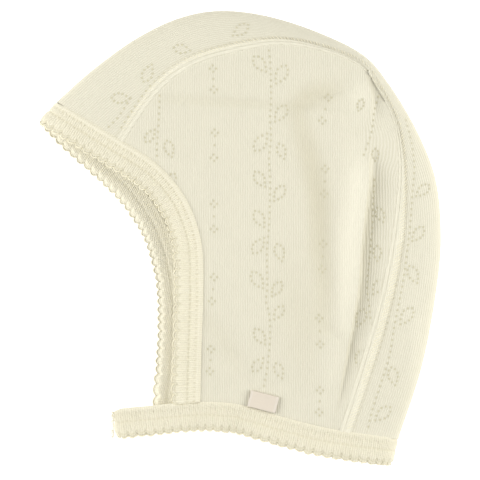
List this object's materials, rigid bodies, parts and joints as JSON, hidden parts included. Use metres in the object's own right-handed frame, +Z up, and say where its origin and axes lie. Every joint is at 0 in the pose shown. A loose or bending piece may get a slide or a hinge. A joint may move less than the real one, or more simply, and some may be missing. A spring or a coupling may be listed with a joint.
{
  "type": "baby bonnet",
  "caption": "Knitted baby bonnet with a chin strap, lying on its side, its face and neck edges bound with scalloped bands and its hollow open for a head.",
  "frame": {"origin": "middle of the surface that the bonnet rests on, under the middle of its box", "axes": "+X towards the nape, -X out of the face opening, +Y towards the crown, -Y out of the neck opening, +Z up through the upper side panel"},
  "size_m": [0.151, 0.1708, 0.018],
  "materials": {
    "pointelle_knit": "matt fine rib knit, cream",
    "ribbed_band": "matt fleecy ribbed band with a looped edge, cream",
    "woven_tape": "matt woven tape, pale beige"
  },
  "bodies": {
    "root": {"side_panel_upper": "pointelle_knit", "side_panel_lower": "pointelle_knit", "centre_panel": "pointelle_knit", "face_band": "ribbed_band", "neck_band_with_chin_strap": "ribbed_band", "label_tab": "woven_tape"}
  },
  "joints": []
}
